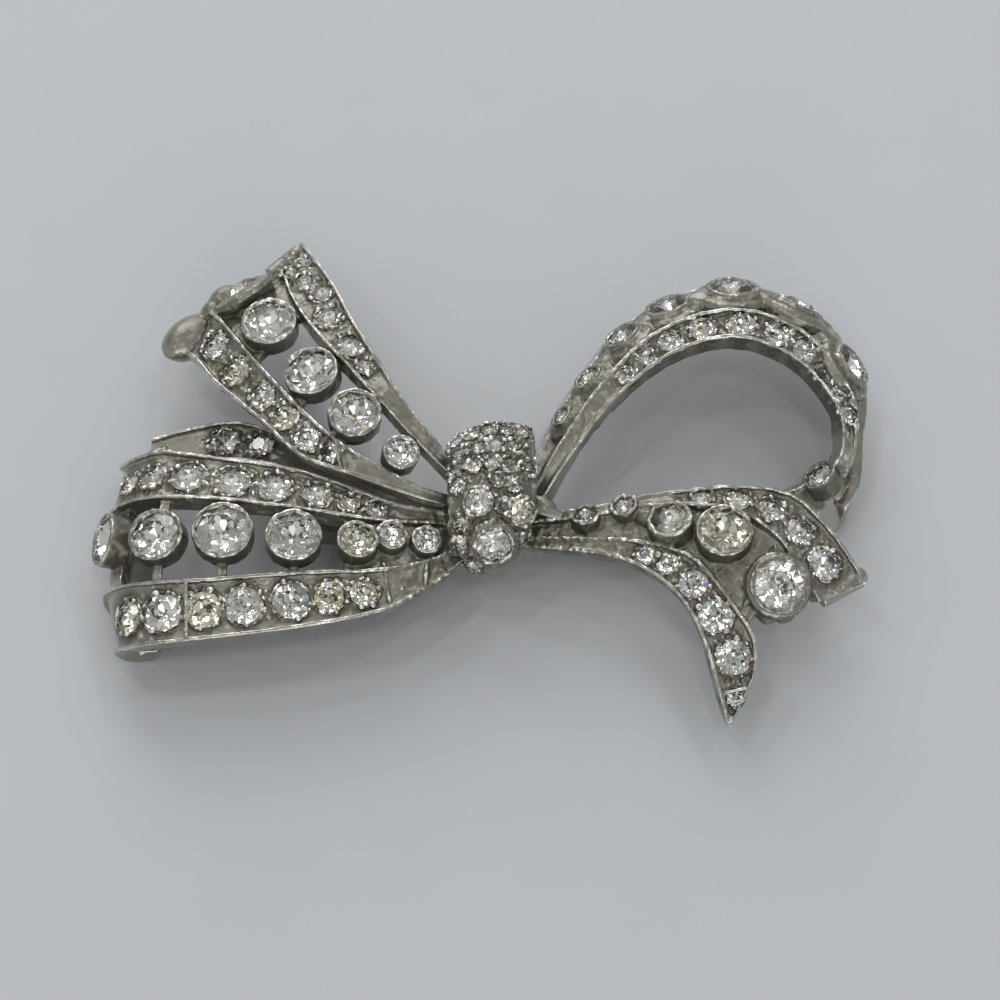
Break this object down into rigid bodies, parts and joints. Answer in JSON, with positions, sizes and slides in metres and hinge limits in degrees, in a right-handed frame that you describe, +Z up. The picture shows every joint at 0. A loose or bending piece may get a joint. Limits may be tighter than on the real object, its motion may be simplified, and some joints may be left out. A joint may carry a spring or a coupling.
{
  "type": "bow brooch",
  "caption": "Silver-tone cast bow brooch with curling loops, notched tails and a domed knot, set with clear faceted stones, with a plain pin on the back.",
  "frame": {"origin": "on the table below the middle of the bow's outline", "axes": "+X along the bow towards the open loop, +Y towards the upper tail, +Z up from the table through the knot"},
  "size_m": [0.0704, 0.0488, 0.013],
  "materials": {
    "cast_metal": "silver-tone cast metal, bright on worn edges, grey and olive in the recesses",
    "pin_metal": "plain drawn metal",
    "clear_stone": "clear cut glass, foil backed, some slightly yellowed"
  },
  "bodies": {
    "root": {"upper_tail": "cast_metal", "left_loop": "cast_metal", "right_loop": "cast_metal", "lower_tail": "cast_metal", "knot": "cast_metal", "pin_back": "pin_metal", "upper_tail_stone_1": "clear_stone", "upper_tail_stone_2": "clear_stone", "upper_tail_stone_3": "clear_stone", "upper_tail_stone_4": "clear_stone", "upper_tail_stone_5": "clear_stone", "left_loop_stone_1": "clear_stone", "left_loop_stone_2": "clear_stone", "left_loop_stone_3": "clear_stone", "left_loop_stone_4": "clear_stone", "left_loop_stone_5": "clear_stone", "left_loop_stone_6": "clear_stone", "left_loop_stone_7": "clear_stone", "right_loop_stone_1": "clear_stone", "right_loop_stone_2": "clear_stone", "right_loop_stone_3": "clear_stone", "right_loop_stone_4": "clear_stone", "right_loop_stone_5": "clear_stone", "right_loop_stone_6": "clear_stone", "right_loop_stone_7": "clear_stone", "right_loop_bend_stone": "clear_stone", "lower_tail_stone_1": "clear_stone", "lower_tail_stone_2": "clear_stone", "lower_tail_stone_3": "clear_stone", "lower_tail_stone_4": "clear_stone", "lower_tail_stone_5": "clear_stone", "knot_stone_1": "clear_stone", "knot_stone_2": "clear_stone", "knot_stone_3": "clear_stone", "upper_tail_small_stones": "clear_stone", "left_loop_small_stones": "clear_stone", "left_back_small_stones": "clear_stone", "right_loop_small_stones": "clear_stone", "lower_tail_small_stones": "clear_stone", "knot_small_stones": "clear_stone"}
  },
  "joints": []
}
